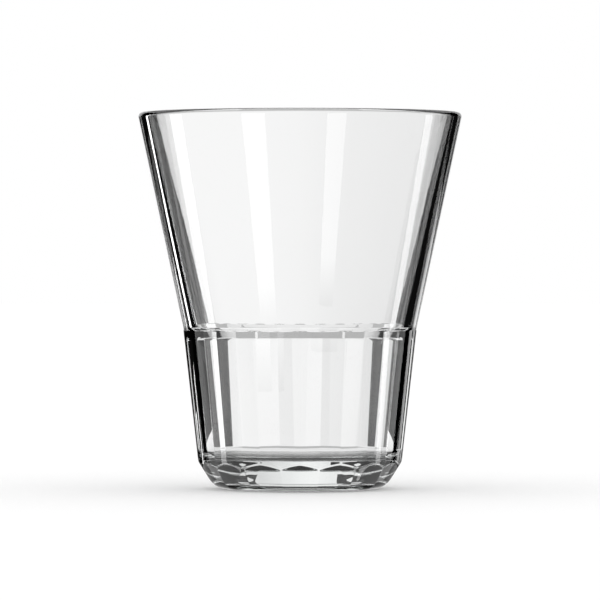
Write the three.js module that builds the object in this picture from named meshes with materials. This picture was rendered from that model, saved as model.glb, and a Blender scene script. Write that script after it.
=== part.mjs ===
import * as THREE from 'three';

// Double old fashioned glass, pressed in one piece. Millimetres, +Z up, resting on z = 0.

// Outside of the bowl and the lower wall. The two lines of the profile would meet at the shoulder.
const GLASS_HEIGHT = 108.0;
const RIM_RADIUS = 46.4;
const SHOULDER_HEIGHT = 46.9;
const SHOULDER_RADIUS = 33.7;
const LOWER_WALL_ANGLE = 6.4;

// Low step just under the shoulder, where the ribs end level around the glass.
const STEP_TOP_HEIGHT = 46.0;
const STEP_FOOT_HEIGHT = 45.0;

// Lip, a full round between the two faces of the wall.
const LIP_WALL = 2.5;

// Ribs of the lower wall: each has a soft crease down its centre line and a shallow valley on either side.
const RIB_COUNT = 16;
const RIB_RISE_AT_SHOULDER = 0.5;
const RIB_RISE_AT_FOOT = 0.27;

// Inside: the bowl ends near the shoulder in a sloping ledge, rolled over at both edges, with the well below it.
const LEDGE_HEIGHT = 46.6;
const LEDGE_RADIUS = 29.9;
const LEDGE_WIDTH = 1.7;
const LEDGE_DROP = 3.2;
const LEDGE_ROUND = 3.0;
const WELL_ANGLE = 4.9;
const FLOOR_HEIGHT = 9.3;
const FLOOR_FILLET = 2.3;

// Faceted heel, one crowned facet under each rib, and the rounded foot it runs into.
const FOOT_RADIUS = 21.05;
const FOOT_ROUND = 6.0;
const HEEL_ANGLE = 32.5;
const HEEL_RIDGE = 0.25;

// Hollow under the foot that leaves a bearing ring.
const PUNT_RADIUS = 18.5;
const PUNT_DEPTH = 1.6;

// Steps of the surface.
const STEPS_PER_RIB = 8;
const LIP_STEPS = 3;
const FOOT_STEPS = 6;
const FILLET_STEPS = 5;
const ROLL_STEPS = 3;
const PUNT_STEPS = 4;
const WALL_STEPS = 3;

const radians = THREE.MathUtils.degToRad;
const mix = THREE.MathUtils.lerp;
const columns = RIB_COUNT * STEPS_PER_RIB;

// How far a column lies from the crease of its own rib: 0 on the crease, 1 in the valley.
const offCrease = (column) => {
  const ribs = column / STEPS_PER_RIB;
  return 2 * Math.abs(ribs - Math.round(ribs));
};

// Each ring of the skin gives radius and height for a column, from the underside up and in to the floor.
const rings = [];
const round = (radius, height) => rings.push(() => [radius, height]);

// Hollow underneath: a shallow bowl that ends at the bearing ring.
for (let step = 1; step <= PUNT_STEPS; step += 1) {
  const share = step / PUNT_STEPS;
  round(PUNT_RADIUS * share, PUNT_DEPTH * (1 - share * share));
}

// Foot: each facet rolls from the bearing ring into the slope of the heel, with a ridge on either side.
const heelSlope = Math.tan(radians(HEEL_ANGLE));
const footTurn = Math.PI / 2 - radians(HEEL_ANGLE);
const footPoint = (share) => {
  const turn = footTurn * share;
  return [FOOT_RADIUS + FOOT_ROUND * Math.sin(turn), FOOT_ROUND * (1 - Math.cos(turn))];
};
const heelRidge = (column) => HEEL_RIDGE * offCrease(column) ** 2;
for (let step = 0; step <= FOOT_STEPS; step += 1) {
  const [radius, height] = footPoint(step / FOOT_STEPS);
  rings.push((column) => [radius + heelRidge(column), height]);
}

// Lower wall: the ribs fade towards the foot.
const wallSlope = Math.tan(radians(LOWER_WALL_ANGLE));
const creaseAtFoot = SHOULDER_RADIUS - SHOULDER_HEIGHT * wallSlope;
const ribGrowth = (RIB_RISE_AT_SHOULDER - RIB_RISE_AT_FOOT) / SHOULDER_HEIGHT;
const wallRadius = (column, height) => {
  const valley = offCrease(column) * (RIB_RISE_AT_FOOT + ribGrowth * height);
  return creaseAtFoot + wallSlope * height - valley;
};

// Heel edge: the facets cut the ribbed wall in scallops, highest under each crease.
const [heelRadius, heelHeight] = footPoint(1);
const heelEdge = (column) => {
  const heelAtFoot = heelRadius - heelSlope * heelHeight + heelRidge(column);
  const closing = heelSlope - wallSlope + ribGrowth * offCrease(column);
  return (wallRadius(column, 0) - heelAtFoot) / closing;
};
for (let step = 0; step <= WALL_STEPS; step += 1) {
  rings.push((column) => {
    const height = mix(heelEdge(column), STEP_FOOT_HEIGHT, step / WALL_STEPS);
    return [wallRadius(column, height), height];
  });
}

// Lip: an arc tangent to the outside and to the inside of the bowl wall.
const lipRound = LIP_WALL / 2;
const lipCentre = [RIM_RADIUS - lipRound, GLASS_HEIGHT - lipRound];
const leanToLip = (radius, height, side) => {
  const run = lipCentre[0] - radius;
  const rise = lipCentre[1] - height;
  return Math.atan2(run, rise) + side * Math.asin(lipRound / Math.hypot(run, rise));
};
const outerLean = leanToLip(SHOULDER_RADIUS, SHOULDER_HEIGHT, 1);
const innerLean = leanToLip(LEDGE_RADIUS, LEDGE_HEIGHT, -1);
const lipPoint = (turn) => [
  lipCentre[0] + lipRound * Math.cos(turn),
  lipCentre[1] + lipRound * Math.sin(turn),
];

// Bowl, outside: a plain round cone from the top of the step to the lip.
const outerTangent = lipPoint(-outerLean);
const stepTopRadius = SHOULDER_RADIUS - (SHOULDER_HEIGHT - STEP_TOP_HEIGHT) * Math.tan(outerLean);
for (let step = 0; step < WALL_STEPS; step += 1) {
  const share = step / WALL_STEPS;
  round(mix(stepTopRadius, outerTangent[0], share), mix(STEP_TOP_HEIGHT, outerTangent[1], share));
}
const lipQuarters = [-outerLean, 0, Math.PI / 2, Math.PI - innerLean];
for (let quarter = 1; quarter < lipQuarters.length; quarter += 1) {
  for (let step = quarter > 1 ? 1 : 0; step <= LIP_STEPS; step += 1) {
    round(...lipPoint(mix(lipQuarters[quarter - 1], lipQuarters[quarter], step / LIP_STEPS)));
  }
}

// A rolled corner of the inside, between the lean of the wall above it and of the wall below it.
const rolledCorner = (radius, height, above, below) => {
  const side = Math.sign(above - below);
  const run = LEDGE_ROUND * Math.tan(Math.abs(above - below) / 2);
  const centre = [
    radius + run * Math.sin(above) + side * LEDGE_ROUND * Math.cos(above),
    height + run * Math.cos(above) - side * LEDGE_ROUND * Math.sin(above),
  ];
  return (share) => {
    const lean = mix(above, below, share);
    return [
      centre[0] - side * LEDGE_ROUND * Math.cos(lean),
      centre[1] + side * LEDGE_ROUND * Math.sin(lean),
    ];
  };
};

// Bowl, inside: a plain round cone down to the ledge, which runs in and down to the well.
const wellLean = radians(WELL_ANGLE);
const wellTopRadius = LEDGE_RADIUS - LEDGE_WIDTH;
const wellTopHeight = LEDGE_HEIGHT - LEDGE_DROP;
const ledgeLean = Math.atan2(LEDGE_WIDTH, LEDGE_DROP);
const ledgeTop = rolledCorner(LEDGE_RADIUS, LEDGE_HEIGHT, innerLean, ledgeLean);
const ledgeFoot = rolledCorner(wellTopRadius, wellTopHeight, ledgeLean, wellLean);
const innerTangent = lipPoint(Math.PI - innerLean);
const bowlFoot = ledgeTop(0);
for (let step = 1; step < WALL_STEPS; step += 1) {
  const share = step / WALL_STEPS;
  round(mix(innerTangent[0], bowlFoot[0], share), mix(innerTangent[1], bowlFoot[1], share));
}
for (const corner of [ledgeTop, ledgeFoot]) {
  for (let step = 0; step <= ROLL_STEPS; step += 1) {
    round(...corner(step / ROLL_STEPS));
  }
}

// Well: a steeper cone down to the rounded edge of the floor.
const wellTop = ledgeFoot(1);
const wellFootRadius = wellTopRadius - (wellTopHeight - FLOOR_HEIGHT) * Math.tan(wellLean);
const filletRun = FLOOR_FILLET * Math.tan((Math.PI / 2 - wellLean) / 2);
const filletPoint = (turn) => [
  wellFootRadius - filletRun + FLOOR_FILLET * Math.cos(turn),
  FLOOR_HEIGHT + FLOOR_FILLET + FLOOR_FILLET * Math.sin(turn),
];
const filletTop = filletPoint(-wellLean);
for (let step = 1; step < WALL_STEPS; step += 1) {
  const share = step / WALL_STEPS;
  round(mix(wellTop[0], filletTop[0], share), mix(wellTop[1], filletTop[1], share));
}
for (let step = 0; step <= FILLET_STEPS; step += 1) {
  round(...filletPoint(mix(-wellLean, -Math.PI / 2, step / FILLET_STEPS)));
}

// The skin: rings joined in turn, closed on the axis underneath and on the floor.
const positions = [0, 0, PUNT_DEPTH];
for (const ring of rings) {
  for (let column = 0; column < columns; column += 1) {
    const angle = 2 * Math.PI * column / columns - Math.PI / 2;
    const [radius, height] = ring(column);
    positions.push(radius * Math.cos(angle), radius * Math.sin(angle), height);
  }
}
positions.push(0, 0, FLOOR_HEIGHT);
const at = (ring, column) => 1 + ring * columns + column % columns;
const floorCentre = 1 + rings.length * columns;
const faces = [];
for (let column = 0; column < columns; column += 1) {
  faces.push(0, at(0, column + 1), at(0, column));
  for (let ring = 0; ring < rings.length - 1; ring += 1) {
    faces.push(at(ring, column), at(ring, column + 1), at(ring + 1, column + 1));
    faces.push(at(ring, column), at(ring + 1, column + 1), at(ring + 1, column));
  }
  faces.push(floorCentre, at(rings.length - 1, column), at(rings.length - 1, column + 1));
}
const skin = new THREE.BufferGeometry();
skin.setAttribute('position', new THREE.Float32BufferAttribute(positions, 3));
skin.setIndex(faces);
skin.computeVertexNormals();

const pressedGlass = new THREE.MeshStandardMaterial({ color: '#e6eeec', roughness: 0.04, metalness: 0.0 });
const tumbler = new THREE.Mesh(skin, pressedGlass);
tumbler.name = 'tumbler';

const glass = new THREE.Group();
glass.name = 'double_old_fashioned_glass';
glass.add(tumbler);

export default glass;
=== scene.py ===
# %% [markdown]
# # A pressed double old fashioned glass
# The object is one piece of clear glass, so the whole lesson is about three things: the exact shape of
# its skin, the glass itself, and the light that a photographer puts around a glass so that it can be
# seen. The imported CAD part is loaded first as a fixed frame, and everything here shares its axes: +Z
# up, metres, the foot standing on z = 0 and the camera on the -Y side.

# %% Load the frame
import math

import bpy
import numpy as np
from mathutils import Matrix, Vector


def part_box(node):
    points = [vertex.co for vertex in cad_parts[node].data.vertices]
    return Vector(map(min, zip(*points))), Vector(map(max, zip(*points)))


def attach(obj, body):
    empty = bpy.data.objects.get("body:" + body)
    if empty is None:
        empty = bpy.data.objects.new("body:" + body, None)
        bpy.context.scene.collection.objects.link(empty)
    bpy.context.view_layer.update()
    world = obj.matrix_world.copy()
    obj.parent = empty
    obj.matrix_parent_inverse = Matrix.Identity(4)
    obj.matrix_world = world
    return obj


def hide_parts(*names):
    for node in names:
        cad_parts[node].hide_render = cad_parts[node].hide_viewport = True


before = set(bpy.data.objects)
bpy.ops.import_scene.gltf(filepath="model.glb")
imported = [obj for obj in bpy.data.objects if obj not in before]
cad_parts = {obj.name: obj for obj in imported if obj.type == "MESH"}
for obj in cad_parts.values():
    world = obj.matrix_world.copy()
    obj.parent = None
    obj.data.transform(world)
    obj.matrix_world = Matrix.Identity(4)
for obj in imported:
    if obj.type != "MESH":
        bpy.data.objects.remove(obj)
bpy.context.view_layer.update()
foot_corner, rim_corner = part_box("tumbler")

# %% [markdown]
# ## Sizes
# A press needs an outer mould, which shapes the bowl, the ribs and the heel, and a plunger, which
# shapes the inside. The sizes are kept in those two groups, in millimetres as on a drawing. The height
# and the rim come from the frame, so the visual glass can't drift away from the solid that it stands
# for.

# %% Sizes that the outer mould gives
MM = 0.001
HEIGHT = rim_corner.z / MM
RIM_RADIUS = rim_corner.x / MM
SHOULDER_HEIGHT = 46.9
SHOULDER_RADIUS = 33.7
WALL_LEAN = math.radians(6.4)
STEP_TOP = 45.65
STEP_FOOT = 45.35
RIBS = 16
RIB_RISE_AT_SHOULDER = 0.5
RIB_RISE_AT_FOOT = 0.27
HEEL_LEAN = math.radians(32.5)
HEEL_RIDGE = 0.25
HEEL_EDGE_ROUND = 0.16
FOOT_RADIUS = 21.05
FOOT_ROUND = 6.0
PUNT_RADIUS = 18.5
PUNT_DEPTH = 1.6
print(f"glass {HEIGHT:.1f} mm high, rim {2 * RIM_RADIUS:.1f} mm, {RIBS} ribs")

# %% Sizes that the plunger gives
LIP_WALL = 2.5
LEDGE_HEIGHT = 46.6
LEDGE_RADIUS = 29.9
LEDGE_WIDTH = 1.7
LEDGE_DROP = 3.2
LEDGE_ROUND = 3.0
WELL_LEAN = math.radians(4.9)
FLOOR_HEIGHT = 8.9
FLOOR_FILLET = 3.2
print(f"wall {LIP_WALL} mm at the lip, floor {FLOOR_HEIGHT} mm above the table")

# %% [markdown]
# ## The columns of the skin
# The lower wall has shallow ribs. Each has a soft crease down its centre line and a valley on either
# side, and light bends differently on the two slopes, which is what draws the pale upright stripes in
# the glass. A lathe or a screw modifier can't make that, because the section isn't round. A grid of
# rings and columns can: every ring gives a radius for each column, and the columns crowd together where
# a crease has to turn sharply.

# %% Columns around the glass
half_rib = np.array([0, .012, .03, .06, .1, .16, .24, .34, .45, .56, .66, .76, .84, .9, .94, .97, .988, 1])
one_rib = np.concatenate([-half_rib[::-1], half_rib[1:-1]])
rib_places = np.concatenate([rib + one_rib / 2 for rib in range(RIBS)])
column_angle = rib_places * 2 * math.pi / RIBS - math.pi / 2
from_crease = np.tile(np.abs(one_rib), RIBS)
print(len(column_angle), "columns")

# %% [markdown]
# ## The slope of a rib
# Molten glass never fills a mould's corner completely, so crease and valley are rolled over a little.
# The slope between them is straight. One number for each column, 0 on the crease and 1 in the valley,
# holds that profile, and a wall of any height can use it.

# %% Slope from crease to valley
CREASE_SOFTNESS = 0.035


def soft_corner(distance):
    """A straight ramp from a corner, with the corner itself rolled over."""
    rolled = (distance ** 2 + CREASE_SOFTNESS ** 2) / (2 * CREASE_SOFTNESS)
    return np.where(distance < CREASE_SOFTNESS, rolled, distance)


to_valley = 1 - soft_corner(1 - from_crease)
ramp = np.where(from_crease < 0.5, soft_corner(from_crease), to_valley)
print(f"slope runs from {ramp.min():.3f} on the crease to {ramp.max():.3f} in the valley")

# %% [markdown]
# ## The outside
# Three surfaces meet on the outside: the plain cone of the bowl, the ribbed wall and the heel. The ribs
# end level at a low step under the bowl. The heel is cut across the ribs, so the glass keeps the
# smaller of wall and heel, and that rule alone gives the scalloped line above the heel. A boolean cut
# would leave that line sharp. The softened minimum rolls it over as real glass does.

# %% Straight walls up to the lip
lip_round = LIP_WALL / 2
lip_centre = np.array([RIM_RADIUS - lip_round, HEIGHT - lip_round])


def wall_to_lip(start, side):
    """Lean of a wall from start to where it touches the lip's round, on the outside (1) or inside (-1)."""
    run, rise = lip_centre - start
    return math.atan2(run, rise) + side * math.asin(lip_round / math.hypot(run, rise))


bowl_lean = wall_to_lip(np.array([SHOULDER_RADIUS, SHOULDER_HEIGHT]), 1)
print(f"bowl leans {math.degrees(bowl_lean):.1f} degrees")

# %% Bowl, ribbed wall and heel
foot_turn = math.pi / 2 - HEEL_LEAN


def foot_point(turn):
    return FOOT_RADIUS + FOOT_ROUND * math.sin(turn), FOOT_ROUND * (1 - math.cos(turn))


def smaller_of(one, other, softness):
    return (one + other - np.sqrt((one - other) ** 2 + softness ** 2)) / 2


def outside_radius(height):
    above = height - SHOULDER_HEIGHT
    bowl = SHOULDER_RADIUS + above * math.tan(bowl_lean)
    rise = RIB_RISE_AT_FOOT + (RIB_RISE_AT_SHOULDER - RIB_RISE_AT_FOOT) * height / SHOULDER_HEIGHT
    wall = SHOULDER_RADIUS + above * math.tan(WALL_LEAN) - rise * ramp
    heel_radius, heel_height = foot_point(foot_turn)
    heel = heel_radius + (height - heel_height) * math.tan(HEEL_LEAN) + HEEL_RIDGE * to_valley ** 2
    share = np.clip((height - STEP_FOOT) / (STEP_TOP - STEP_FOOT), 0, 1)
    body = wall + (bowl - wall) * share ** 2 * (3 - 2 * share)
    return smaller_of(body, heel, HEEL_EDGE_ROUND)


print(f"wall at half of the shoulder's height: {outside_radius(SHOULDER_HEIGHT / 2).max():.2f} mm")

# %% [markdown]
# ## Rings of the outside
# A plain cone needs hardly any rings, but the scallops and the step need many, because each ring is one
# sample of a curved edge. So the rings are spaced by stations up the glass, close together only where
# an edge lies.

# %% Rings from the foot to the bowl
FOOT_RINGS = 14
SCALLOPS_LOW = 5.0
SCALLOPS_HIGH = 9.5
STEP_MARGIN = 0.5

outside = []
for turn in np.linspace(0, foot_turn, FOOT_RINGS):
    radius, height = foot_point(turn)
    outside.append((radius + HEEL_RIDGE * to_valley ** 2, height))
heel_foot = outside[-1][1]
stations = [heel_foot, SCALLOPS_LOW, SCALLOPS_HIGH, STEP_FOOT - STEP_MARGIN, STEP_TOP + STEP_MARGIN]
ring_counts = [5, 40, 10, 25]
for low, high, count in zip(stations, stations[1:], ring_counts):
    outside += [(outside_radius(height), height) for height in np.linspace(low, high, count)[1:]]
print(len(outside), "rings on the outside below the bowl")

# %% [markdown]
# ## The lip
# The lip is fire polished: a flame melts it until surface tension pulls it round. So it is a plain arc
# that is tangent to both faces of the wall, made from the two leans of the wall. A bevel would only
# come near to it.

# %% Lip
LIP_RINGS = 36
ledge = np.array([LEDGE_RADIUS, LEDGE_HEIGHT])
inner_lean = wall_to_lip(ledge, -1)
lip = []
for turn in np.linspace(-bowl_lean, math.pi - inner_lean, LIP_RINGS):
    lip.append(lip_centre + lip_round * np.array([math.cos(turn), math.sin(turn)]))
print(f"lip is an arc of {lip_round} mm, inside leans {math.degrees(inner_lean):.1f} degrees")

# %% [markdown]
# ## The inside
# The plunger is turned on a lathe, so the inside is a simple round profile: the bowl, a sloping ledge
# near the shoulder, the well, and a fillet at the floor. One short function rolls each corner of it.

# %% A rolled corner
def roll_corner(before, corner, after, radius, steps):
    """Points of an arc that replaces a corner of a profile."""
    back = (before - corner) / np.linalg.norm(before - corner)
    ahead = (after - corner) / np.linalg.norm(after - corner)
    half_angle = math.acos(np.clip(back @ ahead, -1, 1)) / 2
    middle = (back + ahead) / np.linalg.norm(back + ahead)
    centre = corner + middle * radius / math.sin(half_angle)
    start = corner + back * radius / math.tan(half_angle) - centre
    end = corner + ahead * radius / math.tan(half_angle) - centre
    angles = np.linspace(0, math.pi - 2 * half_angle, steps)
    turn = math.copysign(1, start[0] * end[1] - start[1] * end[0])
    sideways = turn * np.array([-start[1], start[0]])
    return [centre + start * math.cos(angle) + sideways * math.sin(angle) for angle in angles]


print("corners of the inside are rolled to", LEDGE_ROUND, "and", FLOOR_FILLET, "mm")

# %% Ledge, well and floor
LEDGE_RINGS = 10
FILLET_RINGS = 20
well_top = ledge - np.array([LEDGE_WIDTH, LEDGE_DROP])
well_depth = well_top[1] - FLOOR_HEIGHT
well_foot = np.array([well_top[0] - well_depth * math.tan(WELL_LEAN), FLOOR_HEIGHT])
floor_centre = np.array([0.0, FLOOR_HEIGHT])
inside = list(lip)
inside += roll_corner(lip[-1], ledge, well_top, LEDGE_ROUND, LEDGE_RINGS)
inside += roll_corner(ledge, well_top, well_foot, LEDGE_ROUND, LEDGE_RINGS)
inside += roll_corner(well_top, well_foot, floor_centre, FLOOR_FILLET, FILLET_RINGS)
print("well", round(well_top[0], 2), "to", round(well_foot[0], 2), "mm, floor at", FLOOR_HEIGHT)

# %% [markdown]
# ## Closing the skin
# Under the foot a shallow hollow, the punt, leaves a bearing ring to stand on. The rings are joined
# from the middle of the punt out, up the outside, over the lip and down to the middle of the floor, so
# one closed skin has air on one side and glass on the other. Refraction needs that: with a second loose
# shell inside, rays would enter glass twice.

# %% All rings in turn
PUNT_RINGS = 10
punt = []
for share in np.linspace(0, 1, PUNT_RINGS)[1:]:
    punt.append((PUNT_RADIUS * share, PUNT_DEPTH * (1 - share ** 2)))
columns = len(column_angle)
rings = [(np.broadcast_to(radius, columns), height) for radius, height in punt + outside + inside]
points = [(0, 0, PUNT_DEPTH * MM)]
for radius, height in rings:
    x = radius * np.cos(column_angle) * MM
    y = radius * np.sin(column_angle) * MM
    points += list(zip(x, y, np.full(columns, height * MM)))
points.append((0, 0, FLOOR_HEIGHT * MM))
print(len(rings), "rings,", len(points), "points")

# %% The tumbler's mesh
faces = []
top_ring = 1 + (len(rings) - 1) * columns
for column in range(columns):
    beside = (column + 1) % columns
    faces.append((0, 1 + beside, 1 + column))
    for low in range(1, top_ring, columns):
        high = low + columns
        faces.append((low + column, low + beside, high + beside, high + column))
    faces.append((len(points) - 1, top_ring + column, top_ring + beside))
mesh = bpy.data.meshes.new("tumbler_skin")
mesh.from_pydata(points, [], faces)
mesh.shade_smooth()
tumbler = bpy.data.objects.new("tumbler_skin", mesh)
bpy.context.scene.collection.objects.link(tumbler)
print(len(faces), "faces")

# %% [markdown]
# ## Soda-lime glass
# Drinking glasses are pressed from soda-lime glass, which bends light with an index of about 1.52. Fire
# polish leaves it as smooth as the melt, so it has no roughness to see. A little iron in the sand takes
# some light out over a long path, most in red, which greys the thick base and nothing else. Base colour
# stays white because the colour belongs inside the glass, not on it.

# %% Colours and nodes
def linear(hex_colour):
    channels = [int(hex_colour[place:place + 2], 16) / 255 for place in (1, 3, 5)]
    return tuple(c / 12.92 if c <= 0.04045 else ((c + 0.055) / 1.055) ** 2.4 for c in channels) + (1.0,)


def add_node(tree, kind, settings=None, links=None):
    """Adds a node, sets its values by socket or property name, and links inputs to other sockets."""
    node = tree.nodes.new(kind)
    for name, value in (settings or {}).items():
        if name in node.inputs:
            node.inputs[name].default_value = value
        else:
            setattr(node, name, value)
    for name, source in (links or {}).items():
        tree.links.new(source, node.inputs[name])
    return node


def new_material(name):
    material = bpy.data.materials.new(name)
    material.use_nodes = True
    material.node_tree.nodes.clear()
    return material, material.node_tree


print("iron grey in linear light:", [round(value, 3) for value in linear("#f6f9f8")])

# %% Material: pressed soda-lime glass
# Fire polish gives the eye clean, unbroken reflections, and the index gives the strong bending at the edges.
GLASS_INDEX = 1.52
IRON_DENSITY = 12.0
pressed_glass, tree = new_material("pressed_soda_lime_glass")
surface = add_node(tree, "ShaderNodeBsdfPrincipled", {
    "Base Color": linear("#ffffff"), "Roughness": 0.0, "IOR": GLASS_INDEX, "Transmission Weight": 1.0})
iron = add_node(tree, "ShaderNodeVolumeAbsorption", {"Color": linear("#f6f9f8"), "Density": IRON_DENSITY})
add_node(tree, "ShaderNodeOutputMaterial", links={
    "Surface": surface.outputs["BSDF"], "Volume": iron.outputs["Volume"]})
mesh.materials.append(pressed_glass)
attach(tumbler, "root")
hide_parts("tumbler")
print("glass material:", pressed_glass.name)

# %% [markdown]
# ## The table
# The glass stands on a white table, painted matt, so it shows the soft shadow of the glass and nothing
# else. A plane is enough for it. Rays that come through or off the glass skip the table and meet the
# light behind it, as over a table that is lit from below.

# %% Table
TABLE_REACH = 6.0
TABLE_GAP = 0.0002
table_top = foot_corner.z - TABLE_GAP


def flat_card(name, corners, material, faces=((0, 1, 2, 3),)):
    card_mesh = bpy.data.meshes.new(name)
    card_mesh.from_pydata(corners, [], faces)
    card_mesh.materials.append(material)
    card = bpy.data.objects.new(name, card_mesh)
    bpy.context.scene.collection.objects.link(card)
    return card


def level_corners(left, right, near, far, height):
    return [(left, near, height), (right, near, height), (right, far, height), (left, far, height)]


# Matt wall paint scatters light evenly, so the table has no highlight of its own.
matt_white, tree = new_material("matt_white_table")
paint = add_node(tree, "ShaderNodeBsdfDiffuse", {"Color": linear("#f2f2f2")})
add_node(tree, "ShaderNodeOutputMaterial", links={"Surface": paint.outputs["BSDF"]})
table_corners = level_corners(-TABLE_REACH, TABLE_REACH, -TABLE_REACH, TABLE_REACH, table_top)
table = flat_card("table", table_corners, matt_white)
table.visible_transmission = False
table.visible_glossy = False
print("table at", table_top, "m")

# %% [markdown]
# ## The room
# The glass is lit softly from every side. The room is the world: white to the camera and to rays that
# come through or off the glass, and a little stronger to the table, so that its matt white comes out
# white as well. Lamps would each leave a hot spot in the glass, and an even room leaves none.

# %% World
ROOM_LIGHT = 1.16
world = bpy.data.worlds.new("white_room")
bpy.context.scene.world = world
world.use_nodes = True
tree = world.node_tree
tree.nodes.clear()
path = add_node(tree, "ShaderNodeLightPath")
seen = add_node(tree, "ShaderNodeMath", {"operation": "MAXIMUM"}, {
    0: path.outputs["Is Camera Ray"], 1: path.outputs["Is Glossy Ray"]})
seen_or_through = add_node(tree, "ShaderNodeMath", {"operation": "MAXIMUM"}, {
    0: seen.outputs["Value"], 1: path.outputs["Is Transmission Ray"]})
room = add_node(tree, "ShaderNodeBackground", {"Color": linear("#ffffff"), "Strength": ROOM_LIGHT})
white = add_node(tree, "ShaderNodeBackground", {"Color": linear("#ffffff"), "Strength": 1.0})
mix = add_node(tree, "ShaderNodeMixShader", links={
    0: seen_or_through.outputs["Value"], 1: room.outputs["Background"], 2: white.outputs["Background"]})
add_node(tree, "ShaderNodeOutputWorld", links={"Surface": mix.outputs["Shader"]})
print("room light", ROOM_LIGHT)

# %% [markdown]
# ## How the cards are made
# Clear glass in front of white would all but vanish, so a photographer stands sheets of paper and card
# around it, just outside the picture, and the glass draws itself with what it bends into view. Here a
# card is a mesh with its own glow, so its brightness is known and it throws no light on the table. Only
# rays that the glass has bent or reflected meet it. Some cards are screened further, to be seen only
# through the glass, or only as a reflection in it.

# %% Glow of a card
def plain_glow(name, brightness):
    material, tree = new_material(name)
    glow = add_node(tree, "ShaderNodeEmission", {"Color": linear("#ffffff"), "Strength": brightness})
    add_node(tree, "ShaderNodeOutputMaterial", links={"Surface": glow.outputs["Emission"]})
    return material


def graded_glow(name, stops, along, reach=1.0):
    """A glow through stops of (share, brightness), along an axis of the card or out from its middle."""
    material, tree = new_material(name)
    place = add_node(tree, "ShaderNodeTexCoord")
    if along == "out":
        away = add_node(tree, "ShaderNodeVectorMath", {"operation": "LENGTH"}, {0: place.outputs["Object"]})
        span = add_node(tree, "ShaderNodeMapRange", {"From Max": reach}, {"Value": away.outputs["Value"]})
        share_along = span.outputs["Result"]
    else:
        axes = add_node(tree, "ShaderNodeSeparateXYZ", links={"Vector": place.outputs["Generated"]})
        share_along = axes.outputs[along]
    grade = add_node(tree, "ShaderNodeValToRGB", links={"Fac": share_along})
    marks = grade.color_ramp.elements
    for number, (share, brightness) in enumerate(stops):
        mark = marks[number] if number < 2 else marks.new(share)
        mark.position = share
        mark.color = (brightness, brightness, brightness, 1)
    glow = add_node(tree, "ShaderNodeEmission", links={"Color": grade.outputs["Color"]})
    add_node(tree, "ShaderNodeOutputMaterial", links={"Surface": glow.outputs["Emission"]})
    return material


# Black card keeps a trace of light, because even black paper reflects a little.
black_card = plain_glow("black_card", 0.004)
print("card material:", black_card.name)

# %% [markdown]
# ## Where a card stands
# The cards are far away, so each is placed by the direction in which the glass sees it: degrees to the
# right and degrees up. They stand on a circle around the glass, because a flat one would have to be far
# wider to fill the same angle.

# %% Cards on a circle
CARD_DISTANCE = 1.2
PAPER_DISTANCE = CARD_DISTANCE + 0.01
SLIT_DISTANCE = CARD_DISTANCE - 0.01
MIDDLE_HEIGHT = 0.05
PANEL_ANGLE = 5


def bent_rays_only(card):
    card.visible_camera = False
    card.visible_diffuse = False
    card.visible_shadow = False
    return card


def far_card(name, left, right, bottom, top, material, distance=CARD_DISTANCE):
    """A curved upright card that fills these directions, in degrees, as the glass sees them."""
    turns = np.radians(np.linspace(left, right, 2 + int((right - left) / PANEL_ANGLE)))
    corners = []
    for rise in (bottom, top):
        height = MIDDLE_HEIGHT + distance * math.tan(math.radians(rise))
        corners += [(distance * math.sin(turn), distance * math.cos(turn), height) for turn in turns]
    count = len(turns)
    panels = [(step, step + 1, count + step + 1, count + step) for step in range(count - 1)]
    return bent_rays_only(flat_card(name, corners, material, panels))


print("cards stand", CARD_DISTANCE, "m behind the glass")

# %% [markdown]
# ## White paper
# Behind the glass hangs a long sheet of white paper. Paper is never lit quite evenly: this one is
# brighter left of its middle and falls off to the right, and the ribs turn that into faint stripes.
# Below, it curves away into shade, which gives the base and the lip their grey lines. Above, it dims
# towards its top edge.

# %% Paper behind the glass
PAPER_SIDE = 30
PAPER_FOOT = -11.5
PAPER_TOP = 22
SHADE_SIDE = 32
SHADE_FOOT = -60
PAPER_EDGE = 28.4
paper_sheet = graded_glow("white_paper", [
    (0, .80), (.30, .84), (.38, .92), (.46, .92), (.50, .89),
    (.54, .83), (.60, .79), (.66, .76), (.72, .68)], "X")
shaded_paper = graded_glow("shaded_paper", [
    (0, .05), (.65, .08), (.885, .40), (.955, .76), (1, .84)], "Z")
dim_paper = graded_glow("dim_paper", [(0, .85), (1, .30)], "Z")
far_card("paper_behind", -PAPER_SIDE, PAPER_SIDE, PAPER_FOOT, PAPER_TOP, paper_sheet, PAPER_DISTANCE)
far_card("paper_foot", -SHADE_SIDE, SHADE_SIDE, SHADE_FOOT, PAPER_FOOT, shaded_paper, PAPER_DISTANCE)
far_card("paper_top", -PAPER_SIDE, PAPER_SIDE, PAPER_TOP, PAPER_EDGE, dim_paper, PAPER_DISTANCE)
print("paper fills", 2 * PAPER_SIDE, "degrees behind the glass")

# %% [markdown]
# ## Black cards
# Light that comes straight through the bowl is white. Light that the thick edges of the wall have bent
# aside comes from a black card, so the edges draw themselves in black. The cards' inner edges set how
# wide those lines are, which is why the two sides differ a little. Higher up the cards stand further
# apart, and a dark strip hangs above the paper.

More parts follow.
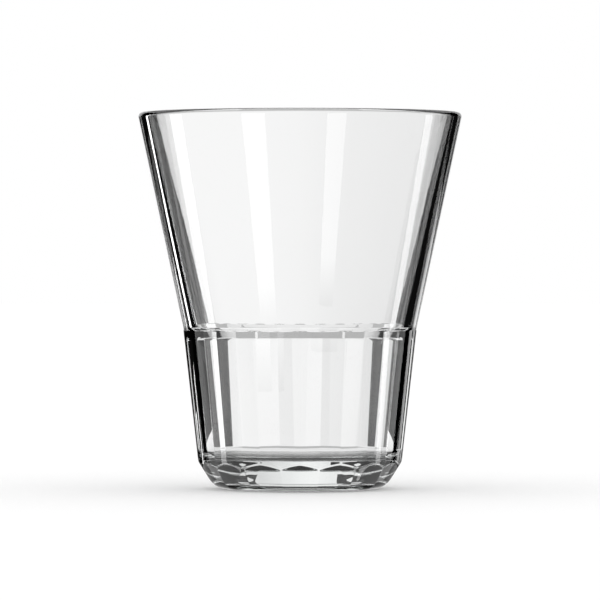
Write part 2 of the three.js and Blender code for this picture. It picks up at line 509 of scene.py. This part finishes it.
# %% Black cards beside and above the paper
CARD_SIDE = 60
BLACK_LEFT = -12.7
BLACK_RIGHT = 15.7
BLACK_FOOT = -17.5
BLACK_TOP = 2.5
UPPER_SIDE = 27
CEILING_TOP = 36
ceiling = far_card("dark_ceiling", -CARD_SIDE, CARD_SIDE, PAPER_EDGE, CEILING_TOP, black_card)
ceiling.visible_glossy = False
far_card("card_left", -CARD_SIDE, BLACK_LEFT, BLACK_FOOT, BLACK_TOP, black_card)
far_card("card_right", BLACK_RIGHT, CARD_SIDE, BLACK_FOOT, BLACK_TOP, black_card)
far_card("card_left_above", -CARD_SIDE, -UPPER_SIDE, BLACK_TOP, PAPER_TOP, black_card)
far_card("card_right_above", UPPER_SIDE, CARD_SIDE, BLACK_TOP, PAPER_TOP, black_card)
print("black cards leave", round(BLACK_RIGHT - BLACK_LEFT, 1), "degrees of paper between them")

# %% [markdown]
# ## Slits and edge lights
# A slit in the left black card lets a thin line of light into the dark edge of the bowl, and a faint
# wider one shows on the other side as a reflection. Two bright cards far out to the sides lie in the
# grazing reflections of the wall, so the outline of the glass ends in light and not in black.

# %% Slits and edge lights
slit_glow = plain_glow("slit_light", 3.0)
faint_glow = plain_glow("faint_light", 1.0)
edge_glow = plain_glow("edge_light", 4.0)
EDGE_FOOT = -45
EDGE_TOP = -5
slit_left, slit_right = (-32.4, -28.9), (22, 33)
edge_left, edge_right = (-86.5, -74), (71, 79)
far_card("slit_left", *slit_left, -18, -5, slit_glow, SLIT_DISTANCE)
reflected_only = [
    far_card("slit_right", *slit_right, -12, -3, faint_glow, SLIT_DISTANCE),
    far_card("edge_left", *edge_left, EDGE_FOOT, EDGE_TOP, edge_glow),
    far_card("edge_right", *edge_right, EDGE_FOOT, EDGE_TOP, edge_glow),
]
for card in reflected_only:
    card.visible_transmission = False
print(len(reflected_only), "lights show only as reflections")

# %% [markdown]
# ## The table as the glass sees it, with a painted shadow
# Straight under its foot a glass shades the table, so looking into the thick base is looking into the
# dark, and further out the table is white again. A disc paints that shadow with a glow, without a lamp:
# darkest in its middle, a little darker again in a ring further out, and paler outwards. A grey card
# lies on the table behind the glass. It puts the thin grey line on the lip and on the step of the
# shoulder.

# %% Painted shadow under the glass, grey card behind it
UNDER_REACH = 0.165
DISC_STEP = 7.5
SILL_HALF_WIDTH = 0.035
SILL_NEAR = 0.088
SILL_FAR = 0.2
# Painted shadow: the disc's glow is dark under the foot and paler outwards, with a dip in a ring on the way.
painted_shadow_glow = graded_glow("painted_shadow_under_glass", [
    (0, .03), (.165, .04), (.22, .45), (.30, .80),
    (.52, .80), (.62, .66), (.72, .80), (1, .95)], "out", UNDER_REACH)
disc = []
for turn in np.radians(np.arange(0, 360, DISC_STEP)):
    disc.append((UNDER_REACH * math.cos(turn), UNDER_REACH * math.sin(turn), table_top / 2))
sill_corners = level_corners(-SILL_HALF_WIDTH, SILL_HALF_WIDTH, SILL_NEAR, SILL_FAR, table_top / 4)
seen_through_only = [
    flat_card("painted_shadow_under_glass", disc, painted_shadow_glow, (tuple(range(len(disc))),)),
    flat_card("grey_sill", sill_corners, plain_glow("grey_card", 0.42)),
]
for card in seen_through_only:
    bent_rays_only(card).visible_glossy = False
print("disc of", UNDER_REACH, "m under the glass, grey card from", SILL_NEAR, "to", SILL_FAR, "m behind it")

# %% [markdown]
# ## Two strip lights
# Tall narrow lights beside the camera leave one long upright highlight on either side of the bowl. They
# tell the eye that the surface is smooth and round. Their diffusers fade out at the foot, so the
# highlights end softly. They stand on the camera's side and show only in reflections.

# %% Strip lights
STRIP_DISTANCE = 0.10
STRIP_TOP = 0.09
strip_glow = graded_glow("strip_light", [(0, 0.0), (.25, 3.0), (1, 3.0)], "Z")


def strip(name, first_angle, last_angle, foot):
    ends = []
    for angle in (first_angle, last_angle):
        turn = math.radians(angle)
        ends.append((STRIP_DISTANCE * math.sin(turn), -STRIP_DISTANCE * math.cos(turn)))
    corners = [end + (foot,) for end in ends] + [end + (STRIP_TOP,) for end in reversed(ends)]
    card = bent_rays_only(flat_card(name, corners, strip_glow))
    card.visible_transmission = False


strip("strip_left", first_angle=-33, last_angle=-19.5, foot=0.012)
strip("strip_right", first_angle=15, last_angle=26, foot=0.024)
print("strips", STRIP_DISTANCE, "m from the axis")

# %% [markdown]
# ## The camera
# The three rings of the glass tell where the camera stood: the rim is seen from just below, the
# shoulder nearly level and the foot from above. So it stands a little above the middle of the glass,
# some five thousand pixels away, which is a metre and a half, with a long lens. The picture is 600 by
# 600, and the middle of the foot and of the rim have a known row in it, which sets the size of a pixel.

# %% Camera
PICTURE = 600
FOOT_PIXEL = 488.3
RIM_PIXEL = 112.4
DISTANCE_PIXELS = 5200
ELEVATION = math.radians(0.45)
pixel = HEIGHT * MM * math.cos(ELEVATION) / (FOOT_PIXEL - RIM_PIXEL)
camera_distance = DISTANCE_PIXELS * pixel
aim = (FOOT_PIXEL - PICTURE / 2) * pixel / math.cos(ELEVATION)
lens = bpy.data.cameras.new("camera")
lens.sensor_width = 36.0
lens.lens = lens.sensor_width * camera_distance / (PICTURE * pixel)
lens.clip_end = 50.0
camera = bpy.data.objects.new("camera", lens)
camera.location = (0, -camera_distance * math.cos(ELEVATION), aim + camera_distance * math.sin(ELEVATION))
camera.rotation_euler = (math.pi / 2 - ELEVATION, 0, 0)
bpy.context.scene.collection.objects.link(camera)
bpy.context.scene.camera = camera
bpy.context.scene.view_settings.view_transform = "Standard"
print(f"camera {camera_distance:.2f} m away, lens {lens.lens:.0f} mm")
